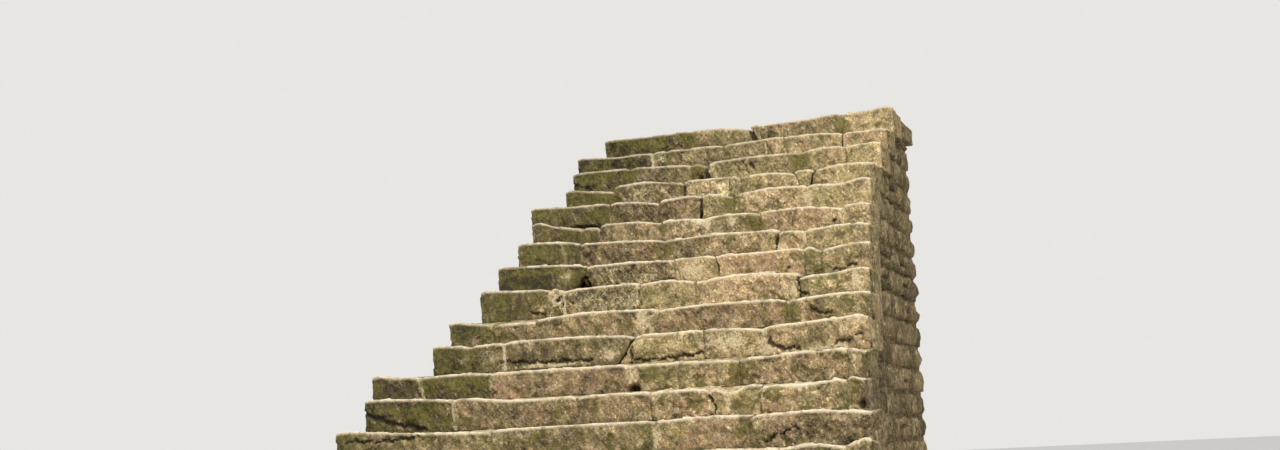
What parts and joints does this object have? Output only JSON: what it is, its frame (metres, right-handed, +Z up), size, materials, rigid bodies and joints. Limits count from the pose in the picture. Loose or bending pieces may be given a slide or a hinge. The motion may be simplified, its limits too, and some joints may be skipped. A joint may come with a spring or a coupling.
{
  "type": "flight of outdoor stone steps",
  "caption": "Straight flight of rough hewn granite garden steps, narrowing upwards, on rubble side walls with a short paved landing.",
  "frame": {"origin": "middle of the footprint, at ground level: midway between the ends of the lowest step and midway from its face to the back of the landing", "axes": "+Z up, +Y up the flight from the lowest step to the landing, +X to the right of someone who climbs it"},
  "size_m": [3.1081, 6.1, 3.09],
  "materials": {
    "hewn_granite": "hand dressed, weathered, with moss and lichen",
    "rubble_masonry": "rough coursed rubble with lime mortar",
    "rubble_fill": "packed rubble and earth"
  },
  "bodies": {
    "root": {"step_01": "hewn_granite", "step_02": "hewn_granite", "step_03": "hewn_granite", "step_04": "hewn_granite", "step_05": "hewn_granite", "step_06": "hewn_granite", "step_07": "hewn_granite", "step_08": "hewn_granite", "step_09": "hewn_granite", "step_10": "hewn_granite", "step_11": "hewn_granite", "step_12": "hewn_granite", "step_13": "hewn_granite", "step_14": "hewn_granite", "step_15": "hewn_granite", "step_16": "hewn_granite", "step_17": "hewn_granite", "step_18": "hewn_granite", "landing": "hewn_granite", "left_side_wall": "rubble_masonry", "right_side_wall": "rubble_masonry", "back_wall": "rubble_masonry", "core_fill": "rubble_fill"}
  },
  "joints": []
}
